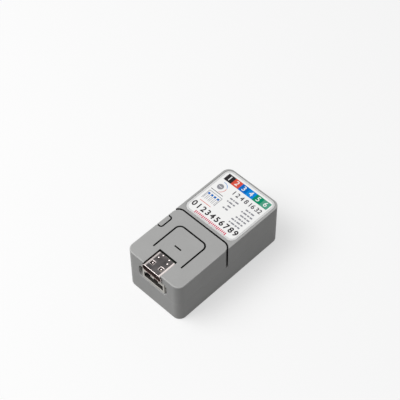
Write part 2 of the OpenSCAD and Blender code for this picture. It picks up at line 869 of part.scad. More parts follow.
// The deck lies inside the tray's rim, and the tall block stands on the rim
module upper_shell() {
    deck_x = inner_x - cover_gap;
    color(shell_grey) difference() {
        union() {
            difference() {
                union() {
                    slab(deck_under, base_h) body_outline(-wall - cover_gap);
                    slab(base_h, body_h) block_outline();
                    span([-deck_x, block_front_y, deck_under],
                         [deck_x, block_room_y + wall, base_h + wall]);
                }
                slab(deck_under - eps, block_under) block_room();
            }
            translate([0, hub_y, hub_boss_z]) cylinder(r = hub_boss_r, h = deck_under - hub_boss_z + eps);
            translate([0, 0, base_pcb_top]) at_screws()
                cylinder(r = screw_boss_r, h = deck_under - base_pcb_top + eps);
        }
        translate([0, hub_y, hub_boss_z - eps])
            cylinder(r = hub_bore_r, h = base_h - hub_boss_z + 2 * eps);
        translate([0, 0, base_pcb_top - eps]) at_screws()
            cylinder(r = screw_shank_r + run_gap, h = pilot_top - base_pcb_top + eps);
        row_span(-1, left_pins, pin_slot_w, deck_under - eps, base_h + eps);
        row_span(1, right_pins, pin_slot_w, deck_under - eps, base_h + eps);
        terminal_opening();
        slab(body_h - label_recess, body_h + eps) label_outline(label_gap);
    }
}

module label() {
    color([0.95, 0.95, 0.94]) slab(body_h - label_recess, body_h - label_recess + label_t) label_outline();
}

module driver_board() {
    color(board_green) difference() {
        slab(base_pcb_z, base_pcb_top) body_outline(-wall - board_gap);
        translate([0, hub_y, base_pcb_z - eps])
            cylinder(r = hub_tray_r + board_gap, h = base_pcb_t + 2 * eps);
        translate([0, 0, base_pcb_z - eps]) at_screws()
            cylinder(r = screw_shank_r + 2 * hub_head_gap, h = base_pcb_t + 2 * eps);
        translate([0, 0, base_pcb_z - eps]) at_pins() cylinder(r = pin_w * 0.8, h = base_pcb_t + 2 * eps);
        for (i = [0 : pole_count - 1])
            translate([pole_x(i), terminal_start_y - terminal_pin / 2 - set_gap, base_pcb_z - eps])
                cylinder(r = terminal_pin * 0.75, h = base_pcb_t + 2 * eps);
    }
}

module pin_header(side, count) {
    color(black) difference() {
        row_span(side, count, row_w, base_pcb_top, base_pcb_top + header_h);
        translate([0, 0, base_pcb_top + header_h / 2]) at_pins()
            cube([pin_w + 2 * set_gap, pin_w + 2 * set_gap, header_h + 2 * eps], center = true);
    }
}

module pin_header_left() { pin_header(-1, left_pins); }
module pin_header_right() { pin_header(1, right_pins); }

module header_pins() {
    low = base_pcb_z - pin_tail;
    color(gold) translate([-pin_w / 2, -pin_w / 2, low]) at_pins() cube([pin_w, pin_w, pin_top_z - low]);
}

module driver_chip() {
    color(black) translate([chip_x, chip_y, base_pcb_top + chip_up + chip_h / 2])
        cube([chip_w, chip_l, chip_h], center = true);
}

// Gull-wing leads: a foot on the board and a step up to the chip's side
module driver_chip_leads() {
    lead_t = 0.15;
    lead_z = base_pcb_top + chip_up + chip_h / 2;
    color(metal)
        for (i = [0 : lead_count - 1], s = [-1, 1])
            translate([chip_x, chip_y + (i - (lead_count - 1) / 2) * lead_pitch - lead_w / 2, 0])
                mirror([s < 0 ? 1 : 0, 0, 0]) {
                    span([chip_w / 2, 0, lead_z - lead_t], [chip_w / 2 + lead_out / 2, lead_w, lead_z]);
                    span([chip_w / 2 + lead_out / 2 - lead_t, 0, base_pcb_top],
                         [chip_w / 2 + lead_out / 2, lead_w, lead_z]);
                    span([chip_w / 2 + lead_out / 2 - lead_t, 0, base_pcb_top],
                         [chip_w / 2 + lead_out, lead_w, base_pcb_top + lead_t]);
                }
}

module capacitor_can() {
    shoulder = 0.6;
    color(metal) translate([can_x, can_y, base_pcb_top + can_foot_h]) rotate_extrude() {
        square([can_r, can_h - shoulder]);
        square([can_r - shoulder, can_h]);
    }
}

module capacitor_foot() {
    color(black) translate([can_x - can_foot_w / 2, can_y - can_foot_w / 2, base_pcb_top])
        cube([can_foot_w, can_foot_w, can_foot_h]);
}

module buck_chip() {
    color(black) chips([[-buck_gap - buck_w / 2, supply_y, 0]], [buck_w, buck_w, buck_h], base_pcb_top);
}

module buck_inductor() {
    color([0.25, 0.25, 0.26]) chips([[coil_w / 2, supply_y, 0]], [coil_w, coil_w, supply_h], base_pcb_top);
}

module supply_diode() {
    color(black) chips([[0, diode_y, 0]], [diode_w, diode_l, supply_h], base_pcb_top);
}

module sense_resistors() {
    x = sense_l / 2 + sense_gap;
    y = terminal_start_y - set_gap - terminal_pin - sense_gap - sense_w / 2;
    color(black)
        chips([[can_x - x, y, 0], [can_x + x, y, 0]], [sense_l, sense_w, sense_h], base_pcb_top);
}

module driver_passives() {
    color([0.55, 0.45, 0.35])
        chips([for (s = [-1, 1]) [s * passive_x, supply_y + passive_pitch, 0],
               for (s = [-1, 1], i = [0, 1]) [s * passive_x, hub_y + (i - 0.5) * passive_pitch, 90],
               for (s = [-1, 1]) [s * passive_x, tile_rear_y - passive_rear, 0]],
              [passive_l, passive_w, passive_h], base_pcb_top);
}

module terminal_housing() {
    z1 = base_pcb_top + terminal_h;
    color([0.12, 0.13, 0.14]) difference() {
        span([-terminal_w / 2, terminal_start_y, base_pcb_top], [terminal_w / 2, terminal_end_y, z1]);
        room_x = terminal_w / 2 - terminal_end_t;
        span([-room_x, terminal_start_y + terminal_back_t, base_pcb_top + terminal_t],
             [room_x, terminal_end_y + eps, z1 - terminal_t]);
        // Keying notches in the upper wall, one above each pole
        for (i = [0 : pole_count - 1])
            span([pole_x(i) - key_w / 2, terminal_end_y - key_l, z1 - terminal_t - eps],
                 [pole_x(i) + key_w / 2, terminal_end_y + eps, z1 + eps]);
        hole = terminal_pin + 2 * set_gap;
        for (i = [0 : pole_count - 1])
            translate([pole_x(i), terminal_start_y + terminal_back_t / 2, terminal_pin_z])
                cube([hole, terminal_back_t + 2 * eps, hole], center = true);
    }
}

// L-shaped pins that leave the housing's back and go down through the board
module terminal_pins() {
    back_y = terminal_start_y - set_gap - terminal_pin;
    color(metal)
        for (i = [0 : pole_count - 1]) translate([pole_x(i) - terminal_pin / 2, 0, 0]) {
            span([0, back_y, terminal_pin_z - terminal_pin / 2],
                 [terminal_pin, terminal_pin_end, terminal_pin_z + terminal_pin / 2]);
            span([0, back_y, base_pcb_z - pin_tail],
                 [terminal_pin, back_y + terminal_pin, terminal_pin_z + terminal_pin / 2]);
        }
}

module step_switch() {
    slot_half = dip_slider_w / 2 + run_gap;
    color(black) difference() {
        translate([control_x, dip_y - dip_l / 2, base_pcb_top]) cube([dip_d, dip_l, dip_h]);
        for (i = [0 : dip_count - 1])
            span([control_x - eps, slider_y(i) - slot_half, slider_low_z - run_gap],
                 [control_x + dip_slot_d, slider_y(i) + slot_half,
                  slider_low_z + dip_slider_h + dip_travel + run_gap]);
    }
}

module step_slider(i) {
    color(ivory)
        translate([control_x - dip_slider_out, slider_y(i) - dip_slider_w / 2, slider_low_z])
            cube([dip_slider_out + dip_slot_d - run_gap, dip_slider_w, dip_slider_h]);
}

module step_slider_1() { step_slider(0); }
module step_slider_2() { step_slider(1); }
module step_slider_3() { step_slider(2); }
module step_slider_4() { step_slider(3); }

module trimmer_body() {
    color([0.15, 0.3, 0.6]) difference() {
        translate([control_x, trimmer_y - trimmer_w / 2, base_pcb_top])
            cube([trimmer_d, trimmer_w, trimmer_w]);
        translate([control_x - eps, trimmer_y, trimmer_z])
            rotate([0, 90, 0]) cylinder(r = trimmer_r + run_gap, h = trimmer_pocket + eps);
    }
}

module trimmer_rotor() {
    tip = control_x - trimmer_out;
    color(ivory) difference() {
        translate([tip, trimmer_y, trimmer_z])
            rotate([0, 90, 0]) cylinder(r = trimmer_r, h = trimmer_out + trimmer_pocket - run_gap);
        for (a = [0, 90])
            translate([tip, trimmer_y, trimmer_z]) rotate([a, 0, 0])
                cube([2 * trimmer_slot_d, 1.6 * trimmer_r, trimmer_slot_w], center = true);
    }
}

module hub_screw() {
    color([0.2, 0.2, 0.21]) translate([0, hub_y, 0]) difference() {
        union() {
            translate([0, 0, hub_seat_z - hub_head_h]) cylinder(r = hub_head_r, h = hub_head_h);
            translate([0, 0, hub_seat_z - eps]) cylinder(r = hub_shank_r, h = hub_shank_l + eps);
        }
        translate([0, 0, hub_seat_z - hub_head_h - eps])
            cylinder(r = hub_key / sqrt(3), h = hub_head_h / 2 + eps, $fn = 6);
    }
}

module shell_screws() {
    cross = [0.45, 2.1, 1.2];
    color([0.2, 0.2, 0.21])
        at_screws() translate([0, 0, screw_up]) difference() {
            union() {
                cylinder(r1 = screw_head_r, r2 = screw_shank_r, h = screw_head_h);
                cylinder(r = screw_shank_r, h = screw_l);
            }
            for (a = [0, 90]) rotate([0, 0, a]) cube(cross, center = true);
        }
}

controller_top_shell();
user_button();
reset_button();
controller_floor();
controller_board();
data_port_shell();
data_port_tongue();
data_port_contacts();
signal_socket();
signal_pins();
signal_lugs();
user_switch();
user_switch_plunger();
reset_switch();
reset_switch_plunger();
radio_chip();
serial_chip();
antenna();
status_light();
controller_passives();
socket_strip_left();
socket_strip_right();
threaded_insert();
base_tray();
upper_shell();
label();
driver_board();
pin_header_left();
pin_header_right();
header_pins();
driver_chip();
driver_chip_leads();
capacitor_can();
capacitor_foot();
buck_chip();
buck_inductor();
supply_diode();
sense_resistors();
driver_passives();
terminal_housing();
terminal_pins();
step_switch();
step_slider_1();
step_slider_2();
step_slider_3();
step_slider_4();
trimmer_body();
trimmer_rotor();
hub_screw();
shell_screws();
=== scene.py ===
import json
import math
import bpy
from mathutils import Matrix, Vector

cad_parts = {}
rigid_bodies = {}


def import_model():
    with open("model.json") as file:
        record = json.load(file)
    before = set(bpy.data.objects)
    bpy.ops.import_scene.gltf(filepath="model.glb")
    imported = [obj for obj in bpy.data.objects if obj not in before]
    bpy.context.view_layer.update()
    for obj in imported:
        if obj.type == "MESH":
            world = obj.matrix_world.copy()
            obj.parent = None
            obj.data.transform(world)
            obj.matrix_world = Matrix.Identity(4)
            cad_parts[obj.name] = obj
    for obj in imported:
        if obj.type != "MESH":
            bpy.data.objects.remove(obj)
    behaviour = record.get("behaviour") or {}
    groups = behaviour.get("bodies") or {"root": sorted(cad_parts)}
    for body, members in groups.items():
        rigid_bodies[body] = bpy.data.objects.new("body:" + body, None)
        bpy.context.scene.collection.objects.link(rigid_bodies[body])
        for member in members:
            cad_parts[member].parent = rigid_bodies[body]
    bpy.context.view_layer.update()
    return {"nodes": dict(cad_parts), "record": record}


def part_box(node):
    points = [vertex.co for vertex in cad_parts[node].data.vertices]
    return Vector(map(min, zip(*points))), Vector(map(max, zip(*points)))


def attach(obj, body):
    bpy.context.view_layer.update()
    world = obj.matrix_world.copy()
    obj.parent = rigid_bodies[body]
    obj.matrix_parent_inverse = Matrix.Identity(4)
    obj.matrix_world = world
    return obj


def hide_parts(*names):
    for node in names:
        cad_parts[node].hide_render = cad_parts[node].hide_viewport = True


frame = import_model()
mm = 0.001
bpy.context.scene.view_settings.view_transform = "Standard"
bpy.context.tool_settings.mesh_select_mode = (False, True, False)  # edges are picked by code below
slotOf = {part["node"]: part["material_slot"] for part in frame["record"]["subparts"]}
bodyOf = {node: body for body, nodes in frame["record"]["behaviour"]["bodies"].items() for node in nodes}
print("frame loaded,", len(frame["nodes"]), "nodes")


# paint: sockets that can be added and multiplied, and one maker of nodes
class Wire:
    def __init__(self, paint, socket):
        self.paint = paint
        self.socket = socket

    def work(self, operation, first, second):
        return self.paint.node("ShaderNodeMath", {"operation": operation}, {0: first, 1: second})

    def __add__(self, other):
        return self.work("ADD", self, other)

    def __radd__(self, other):
        return self.work("ADD", other, self)

    def __sub__(self, other):
        return self.work("SUBTRACT", self, other)

    def __rsub__(self, other):
        return self.work("SUBTRACT", other, self)

    def __mul__(self, other):
        return self.work("MULTIPLY", self, other)

    def __rmul__(self, other):
        return self.work("MULTIPLY", other, self)

    def __gt__(self, other):
        return self.work("GREATER_THAN", self, other)

    def __lt__(self, other):  # also what a number > a wire asks for
        return self.work("LESS_THAN", self, other)


class Paint:
    def __init__(self, owner, textured=True):  # owner is a material or a world
        owner.use_nodes = True
        self.owner = owner
        self.tree = owner.node_tree
        self.tree.nodes.clear()
        if textured:
            self.place = self.node("ShaderNodeTexCoord", out="Object")

    def node(self, kind, settings=None, sockets=None, out=0):
        made = self.tree.nodes.new(kind)
        for key, value in (settings or {}).items():
            setattr(made, key, value)
        for key, value in (sockets or {}).items():
            if isinstance(value, Wire):
                self.tree.links.new(value.socket, made.inputs[key])
            else:
                made.inputs[key].default_value = value
        if isinstance(out, tuple):
            return [Wire(self, made.outputs[key]) for key in out]
        return Wire(self, made.outputs[out]) if len(made.outputs) else None

    def stretched(self, x, y, z):
        return self.node("ShaderNodeMapping", {}, {"Vector": self.place, "Scale": (x, y, z)})

    def noise(self, scale, detail, place=None):
        return self.node("ShaderNodeTexNoise", {}, {
            "Vector": place or self.place, "Scale": scale, "Detail": detail})

    def cells(self, scale):
        return self.node("ShaderNodeTexVoronoi", {}, {"Vector": self.place, "Scale": scale})

    def blend(self, share, first, second):
        return self.node("ShaderNodeMix", {"data_type": "RGBA"}, {0: share, 6: first, 7: second}, 2)

    def bump(self, height, depth):
        return self.node("ShaderNodeBump", {}, {"Height": height, "Distance": depth, "Strength": 1.0})

    def rays(self):  # the camera's own, mirrored ones and those that come through
        return self.node("ShaderNodeLightPath", out=("Is Camera Ray", "Is Glossy Ray", "Is Transmission Ray"))

    def shade(self, sockets):
        surface = self.node("ShaderNodeBsdfPrincipled", {}, sockets)
        self.node("ShaderNodeOutputMaterial", {}, {"Surface": surface})
        return self.owner


def tone(red, green, blue):  # a screen colour, 0 to 255, in the shader's own scale
    def linear(value):
        value = value / 255
        return value / 12.92 if value <= 0.04045 else ((value + 0.055) / 1.055) ** 2.4
    return (linear(red), linear(green), linear(blue), 1)


half = 0.5  # noise swings about this


# moulded plastics: clouding, fine specks, an eroded grain and faint rubbing marks
def mouldedPlastic(name, look):
    paint = Paint(bpy.data.materials.new(name))
    cloud = (paint.noise(look["cloud"], 3) - half) * look["contrast"] + half
    speck = paint.noise(look["speck"], 1)
    pits = paint.cells(look["grain"] * look["coarser"]) * look["pits"]
    grain = paint.noise(look["grain"], 2) * (1 - look["pits"]) + pits
    rubbed = paint.noise(look["rub"], 4, paint.stretched(*look["rubRun"])) > look["rubEdge"]
    shade = cloud * (1 - look["specks"]) + speck * look["specks"]
    colour = paint.blend(shade, look["dark"], look["light"])
    rough = look["rough"] + (grain - half) * look["spread"] - rubbed * look["polish"]
    return paint.shade({
        "Base Color": colour, "Roughness": rough, "Normal": paint.bump(grain, look["depth"]),
        "Specular IOR Level": look["gloss"]})


# plated sheet and turned metal: long streaks, fine scratches and dull stains
def platedMetal(name, look):
    paint = Paint(bpy.data.materials.new(name))
    along, across, up = look["run"]
    streak = paint.noise(look["streak"], 3, paint.stretched(along, across, up))
    fine = paint.noise(look["streak"] * look["finer"], 2, paint.stretched(across, along, 1))
    scratch = fine > look["scratchEdge"]
    stain = (paint.noise(look["stain"], 4) - look["clean"]) * look["patch"]
    cloud = stain * look["stainShare"] + streak * look["streakShare"]
    colour = paint.blend(cloud, look["light"], look["dark"])
    if "bendReflection" in look:  # a painted reflection: the bend along the left side is painted brighter
        side = paint.node("ShaderNodeSeparateXYZ", {}, {0: paint.place})
        colour = paint.blend((look["bend"] * mm - side) * look["fade"], colour, look["bendReflection"])
    dull = look["rough"] + (streak - half) * look["spread"] + stain * look["stainRough"]
    return paint.shade({
        "Base Color": colour, "Metallic": 1.0, "Roughness": dull + scratch * look["scratchRough"],
        "Normal": paint.bump(streak + scratch * look["scratchDepth"], look["depth"])})


# coated circuit board: copper runs show as a lighter green under the coat
def coatedBoard(name, look):
    paint = Paint(bpy.data.materials.new(name))
    runs = paint.node("ShaderNodeTexBrick", {"offset": look["offset"]}, {
        "Vector": paint.place, "Color1": (1, 1, 1, 1), "Color2": look["second"], "Mortar": (0, 0, 0, 1),
        "Scale": look["runs"], "Mortar Size": look["space"]}, 1)
    weave = paint.noise(look["weave"], 2)
    colour = paint.blend(runs * look["runShare"] + weave * look["weaveShare"], look["dark"], look["light"])
    return paint.shade({
        "Base Color": colour, "Roughness": look["rough"] + weave * look["spread"],
        "Normal": paint.bump(runs + weave * look["weaveDepth"], look["depth"]), "Coat Weight": look["coat"]})


# printed film: white laminate with a faint ripple
def printedFilm(name, look):
    paint = Paint(bpy.data.materials.new(name))
    ripple = paint.noise(look["ripple"], 2)
    fibre = paint.noise(look["fibre"], 3)
    colour = paint.blend(ripple * half + fibre * half, look["dark"], look["light"])
    return paint.shade({
        "Base Color": colour, "Roughness": look["rough"] + (fibre - half) * look["spread"],
        "Normal": paint.bump(ripple, look["depth"]), "Coat Weight": look["coat"],
        "Coat Roughness": look["coatRough"]})


# print ink: a dot screen and uneven cover
def printInk(name, look, light, dark):
    paint = Paint(bpy.data.materials.new(name))
    dots = paint.cells(look["dots"])
    cover = paint.noise(look["cover"], 3)
    colour = paint.blend(dots * look["dotShare"] + cover * look["coverShare"], light, dark)
    return paint.shade({
        "Base Color": colour, "Roughness": look["rough"] + (cover - half) * look["spread"],
        "Normal": paint.bump(cover, look["depth"]), "Specular IOR Level": look["gloss"]})


shellLook = {
    "dark": tone(163, 163, 162), "light": tone(173, 173, 172), "cloud": 170, "contrast": 1.6,
    "speck": 4200, "specks": 0.45, "grain": 5200, "coarser": 0.8, "pits": 0.35, "depth": 0.000024,
    "rub": 900, "rubRun": (1, 0.12, 1), "rubEdge": 0.63, "polish": 0.06,
    "rough": 0.5, "spread": 0.2, "gloss": 0.35}
edgeHighlightLook = dict(shellLook, dark=tone(172, 172, 171), light=tone(182, 182, 181), rough=0.42, depth=0.00001)
blackLook = dict(shellLook, dark=tone(28, 28, 30), light=tone(42, 42, 44), rough=0.46, depth=0.000004)
ivoryLook = dict(shellLook, dark=tone(210, 207, 200), light=tone(226, 223, 216), rough=0.42, depth=0.000003)
socketLook = dict(shellLook, dark=tone(44, 42, 40), light=tone(64, 61, 58), rough=0.55)
slotLook = dict(shellLook, dark=tone(26, 26, 26), light=tone(38, 38, 38), rough=0.7)
resinLook = dict(
    shellLook, dark=tone(34, 34, 36), light=tone(56, 56, 58), speck=2600, rough=0.6, depth=0.000008)
ceramicLook = dict(shellLook, dark=tone(140, 116, 92), light=tone(172, 148, 120), rough=0.4)
terminalLook = dict(shellLook, dark=tone(38, 40, 42), light=tone(54, 56, 59), rough=0.44)
trimmerLook = dict(shellLook, dark=tone(40, 84, 160), light=tone(56, 104, 182), rough=0.36, depth=0.000003)
nickelLook = {
    "light": tone(138, 134, 133), "dark": tone(64, 61, 61), "streak": 900, "run": (1, 0.06, 1),
    "streakShare": 0.4, "finer": 2.3, "scratchEdge": 0.68, "scratchRough": 0.05, "scratchDepth": 0.2,
    "stain": 420, "clean": 0.45, "patch": 1.8, "stainShare": 0.5, "stainRough": 0.06,
    "rough": 0.24, "spread": 0.2, "depth": 0.0000012}
portLook = dict(
    nickelLook, light=tone(108, 104, 104), dark=tone(38, 37, 38), stain=330, patch=3.4,
    bend=-2.55, fade=1900, bendReflection=tone(196, 188, 186))
fingerLook = dict(nickelLook, light=tone(48, 45, 45), dark=tone(26, 24, 24), rough=0.36)
throatLook = dict(nickelLook, light=tone(98, 80, 77), dark=tone(64, 53, 51), rough=0.5)
lipHighlightLook = dict(nickelLook, light=tone(238, 228, 225), dark=tone(200, 188, 184), rough=0.34)
rimLook = dict(lipHighlightLook, light=tone(206, 192, 188), dark=tone(172, 158, 154))
giltLook = dict(nickelLook, light=tone(226, 190, 116), dark=tone(184, 142, 74), rough=0.26)
canLook = dict(nickelLook, light=tone(214, 214, 216), dark=tone(172, 172, 176), run=(1, 1, 0.05), rough=0.3)
steelLook = dict(nickelLook, light=tone(92, 92, 96), dark=tone(56, 56, 60), rough=0.38, depth=0.000002)
boardLook = {
    "dark": tone(14, 66, 44), "light": tone(30, 104, 70), "runs": 420, "offset": 0.37, "space": 0.03,
    "second": (0.8, 0.8, 0.8, 1), "weave": 2600, "runShare": 0.35, "weaveShare": 0.5, "weaveDepth": 0.4,
    "rough": 0.34, "spread": 0.14, "depth": 0.000006, "coat": 0.25}
filmLook = {
    "dark": tone(246, 246, 245), "light": tone(253, 253, 252), "ripple": 420, "fibre": 3800,
    "rough": 0.3, "spread": 0.16, "depth": 0.000003, "coat": 0.3, "coatRough": 0.18}
marginLook = dict(filmLook, dark=tone(211, 211, 211), light=tone(221, 221, 220))
inkLook = {
    "dots": 9000, "dotShare": 0.45, "cover": 1500, "coverShare": 0.4, "rough": 0.36, "spread": 0.2,
    "depth": 0.000002, "gloss": 0.07}

finish = {
    "shell_plastic": mouldedPlastic("shellPlastic", shellLook),
    "circuit_board": coatedBoard("boardCoat", boardLook),
    "port_metal": platedMetal("platedNickel", nickelLook),
    "black_plastic": mouldedPlastic("blackPlastic", blackLook),
    "gilt_contact": platedMetal("giltContact", giltLook),
    "ivory_plastic": mouldedPlastic("ivoryPlastic", ivoryLook),
    "chip_resin": mouldedPlastic("chipResin", resinLook),
    "passive_ceramic": mouldedPlastic("passiveCeramic", ceramicLook),
    "capacitor_metal": platedMetal("capacitorCan", canLook),
    "label_film": printedFilm("labelFilm", filmLook),
    "terminal_plastic": mouldedPlastic("terminalPlastic", terminalLook),
    "trimmer_plastic": mouldedPlastic("trimmerPlastic", trimmerLook),
    "screw_steel": platedMetal("screwSteel", steelLook)}
shellEdgeHighlight = mouldedPlastic("shellEdgeHighlight", edgeHighlightLook)  # edges painted a little paler as a highlight, and smoother
slotShade = mouldedPlastic("slotShade", slotLook)  # walls down in the gaps, painted dark as shade
portNickelReflection = platedMetal("portNickelReflection", portLook)  # the port's top, dark and smoky as a painted reflection of dark surroundings, with a painted bright reflection along the left bend
portFingerShade = platedMetal("portFingerShade", fingerLook)  # its spring fingers, down in the windows, painted dark as shade
portThroatShade = platedMetal("portThroatShade", throatLook)  # inside its mouth, painted dark and warm as shade
portLipHighlight = platedMetal("portLipHighlight", lipHighlightLook)  # the port's edges, painted bright as a highlight
portRimShade = platedMetal("portRimShade", rimLook)  # the lower lip: the lip's painted highlight, painted dimmer as shade
socketShade = mouldedPlastic("socketShade", socketLook)  # inside the signal socket, painted dark as shade
labelMargin = printedFilm("labelMargin", marginLook)  # laminate past the print
print("finishes made,", len(finish), "for slots")

# shaping tools: lengths in metres, angles in degrees
shaping = {"weld": 0.000002, "flat": 0.4, "fold": 40, "smooth": 38}


def pickOnly(piece):
    bpy.ops.object.select_all(action="DESELECT")
    piece.select_set(True)
    bpy.context.view_layer.objects.active = piece


def dropPicks(mesh):
    for group in (mesh.vertices, mesh.edges, mesh.polygons):
        group.foreach_set("select", [False] * len(group))


# a merged copy of a CAD node, free to be shaped
def liftCopy(node, name, extra=()):
    pickOnly(frame["nodes"][node])
    bpy.ops.object.duplicate()
    piece = bpy.context.active_object
    bpy.ops.object.parent_clear(type="CLEAR_KEEP_TRANSFORM")
    for key in list(piece.keys()):
        del piece[key]
    piece.name = name
    piece.data.name = name
    piece.data.materials.clear()
    for material in (finish[slotOf[node]], *extra):
        piece.data.materials.append(material)
    bpy.ops.object.mode_set(mode="EDIT")
    bpy.ops.mesh.select_all(action="SELECT")
    bpy.ops.mesh.customdata_custom_splitnormals_clear()
    bpy.ops.mesh.remove_doubles(threshold=shaping["weld"])
    bpy.ops.mesh.dissolve_limited(angle_limit=math.radians(shaping["flat"]))
    bpy.ops.object.mode_set(mode="OBJECT")
    return piece


# rounds the outward folds whose middle (in mm) passes the test
def roundEdges(piece, width, steps, test=None, paint=-1):
    mesh = piece.data
    sides = {}  # each edge's faces: the normal, and the way the face runs along the edge
    for polygon in mesh.polygons:
        for first, second in zip(polygon.vertices, (*polygon.vertices[1:], polygon.vertices[0])):
            run = mesh.vertices[second].co - mesh.vertices[first].co
            key = (min(first, second), max(first, second))
            sides.setdefault(key, []).append((polygon.normal.copy(), run))
    dropPicks(mesh)
    count = 0
    for edge in mesh.edges:
        pair = sides.get(edge.key, [])
        if len(pair) != 2:
            continue
        (normal, run), (other, _) = pair
        if normal.angle(other, 0) < math.radians(shaping["fold"]):
            continue
        if normal.cross(other).dot(run) <= 0:  # an inward fold
            continue
        middle = (mesh.vertices[edge.vertices[0]].co + mesh.vertices[edge.vertices[1]].co) / 2
        if test is None or test(middle / mm):
            edge.select = True
            count += 1
            for v in edge.vertices:
                mesh.vertices[v].select = True
    if count == 0:
        return
    pickOnly(piece)
    bpy.ops.object.mode_set(mode="EDIT")
    bpy.ops.mesh.bevel(
        offset=width * mm, segments=steps, affect="EDGES", clamp_overlap=False, loop_slide=False,
        material=paint)
    bpy.ops.object.mode_set(mode="OBJECT")


# gives the faces that pass the test (middle in mm, normal) another of the piece's finishes
def paintFaces(piece, index, test):
    mesh = piece.data
    dropPicks(mesh)
    for polygon in mesh.polygons:
        polygon.select = test(polygon.center / mm, polygon.normal)
    pickOnly(piece)
    piece.active_material_index = index
    bpy.context.tool_settings.mesh_select_mode = (False, False, True)
    bpy.ops.object.mode_set(mode="EDIT")
    bpy.ops.object.material_slot_assign()
    bpy.ops.object.mode_set(mode="OBJECT")
    bpy.context.tool_settings.mesh_select_mode = (False, True, False)


# smooth shading that keeps flat faces flat
def smoothOff(piece):
    pickOnly(piece)
    bpy.ops.object.shade_smooth_by_angle(angle=math.radians(shaping["smooth"]))
    bpy.ops.object.modifier_add(type="WEIGHTED_NORMAL")
    piece.modifiers[-1].keep_sharp = True
    bpy.ops.object.modifier_apply(modifier=piece.modifiers[-1].name)


def standIn(piece, node):
    smoothOff(piece)
    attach(piece, bodyOf[node])
    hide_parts(node)


# distance in mm from a round-cornered outline seen from above, less than 0 inside
def fromOutline(spot, outline):
    low, high, radius = outline["low"], outline["high"], outline["radius"]
    x = abs(spot.x - (low[0] + high[0]) / 2) - (high[0] - low[0]) / 2 + radius
    y = abs(spot.y - (low[1] + high[1]) / 2) - (high[1] - low[1]) / 2 + radius
    return math.hypot(max(x, 0), max(y, 0)) + min(max(x, y), 0) - radius


# heights that the shells share, and how near counts as on them, in mm
level = {"top": 18, "seam": 8.5, "foot": 0, "near": 0.02, "outline": 0.06}
shellPaint = {"edge": 1, "slot": 2}  # finishes of a shell after its own: the edges' painted highlight, and the painted shade in slots and gaps
upright = 0.3  # a wall's normal rises less than this


def onTop(spot):
    return spot.z > level["top"] - level["near"]


def onFoot(spot):
    return spot.z < level["foot"] + level["near"]


def onSeam(spot):
    return abs(spot.z - level["seam"]) < level["near"]


def isWall(normal):
    return abs(normal.z) < upright


# controller
tileSize = {
    "low": (-12, -24), "high": (12, -0.2), "radius": 2.8, "rim": 0.35, "fine": 0.02, "foot": 0.1,
    "mouth": 0.1, "mouthTop": 14.62, "mouthBack": -20, "slotDepth": 0.3, "gapStart": -3.2,
    "root": -17.2, "rootHalf": 6.3, "rootNear": 0.03, "tabFace": -0.5}


def onTile(spot):
    return abs(fromOutline(spot, tileSize)) < level["outline"]


def onRoot(spot):  # where the user button's tongue grows out of the shell
    return abs(spot.y - tileSize["root"]) < tileSize["rootNear"] and abs(spot.x) < tileSize["rootHalf"]


def onFront(spot):
    return spot.y < tileSize["low"][1] + level["near"]


def onLeft(spot):
    return spot.x < tileSize["low"][0] + level["near"]


def belowMouth(spot):
    return spot.z < tileSize["mouthTop"]


def inSlot(spot, normal):  # the walls of the slots and the port's cut, painted dark as shade, but not of the socket's opening
    within = fromOutline(spot, tileSize) < -tileSize["slotDepth"]
    return isWall(normal) and within and not (spot.y < tileSize["mouthBack"] and belowMouth(spot))


def inGap(spot, normal):  # the wall that faces the base's tall block, painted dark as shade
    return isWall(normal) and normal.y > upright and spot.y > tileSize["gapStart"]


tileShell = liftCopy("controller_top_shell", "controllerTopShell", [shellEdgeHighlight, slotShade])
# the outer rims are painted paler as a highlight; the slots' fine edges and walls are painted dark as shade
roundEdges(tileShell, tileSize["rim"], 4, lambda p: onTop(p) and onTile(p), shellPaint["edge"])
roundEdges(tileShell, tileSize["foot"], 2, lambda p: onSeam(p) and onTile(p), shellPaint["edge"])
roundEdges(tileShell, tileSize["mouth"], 3, lambda p: onFront(p) and belowMouth(p), shellPaint["edge"])
roundEdges(
    tileShell, tileSize["fine"], 2, lambda p: onTop(p) and not onTile(p) and not onRoot(p),
    shellPaint["slot"])
paintFaces(tileShell, shellPaint["slot"], inSlot)
paintFaces(tileShell, shellPaint["slot"], inGap)
standIn(tileShell, "controller_top_shell")

userButton = liftCopy("user_button", "userButton", [shellEdgeHighlight, slotShade])
# its top edges and walls are painted dark as shade
roundEdges(userButton, tileSize["fine"], 2, lambda p: onTop(p) and not onRoot(p), shellPaint["slot"])
paintFaces(userButton, shellPaint["slot"], lambda p, n: isWall(n))
standIn(userButton, "user_button")

resetButton = liftCopy("reset_button", "resetButton", [shellEdgeHighlight, slotShade])
# the outer rim is painted paler as a highlight; the edges and walls in the slots are painted dark as shade
roundEdges(resetButton, tileSize["rim"], 4, lambda p: onTop(p) and onLeft(p), shellPaint["edge"])
roundEdges(resetButton, tileSize["fine"], 2, lambda p: onTop(p) and not onLeft(p), shellPaint["slot"])
paintFaces(resetButton, shellPaint["slot"], lambda p, n: isWall(n) and n.x > tileSize["tabFace"])
standIn(resetButton, "reset_button")
print("controller shells done")

# data port
portSize = {
    "lip": 0.11, "edge": 0.05, "window": 0.16, "tongue": 0.12, "tongueFront": -23.6,
    "front": -24.33, "mouthBack": -24.3, "lipBack": -24.2, "rimBack": -24.1, "rear": -17.3,
    "windowBack": -20, "fingerBack": -20.2, "windowTop": 17.73, "finger": (17, 17.46), "fingerRise": 0.5,
    "bendLow": 16.2, "rearLow": 15.8, "rimTop": 15.6, "axis": 16.15, "bendTilt": 0.1}
portPaint = {"lip": 1, "finger": 2, "throat": 3, "rim": 4}


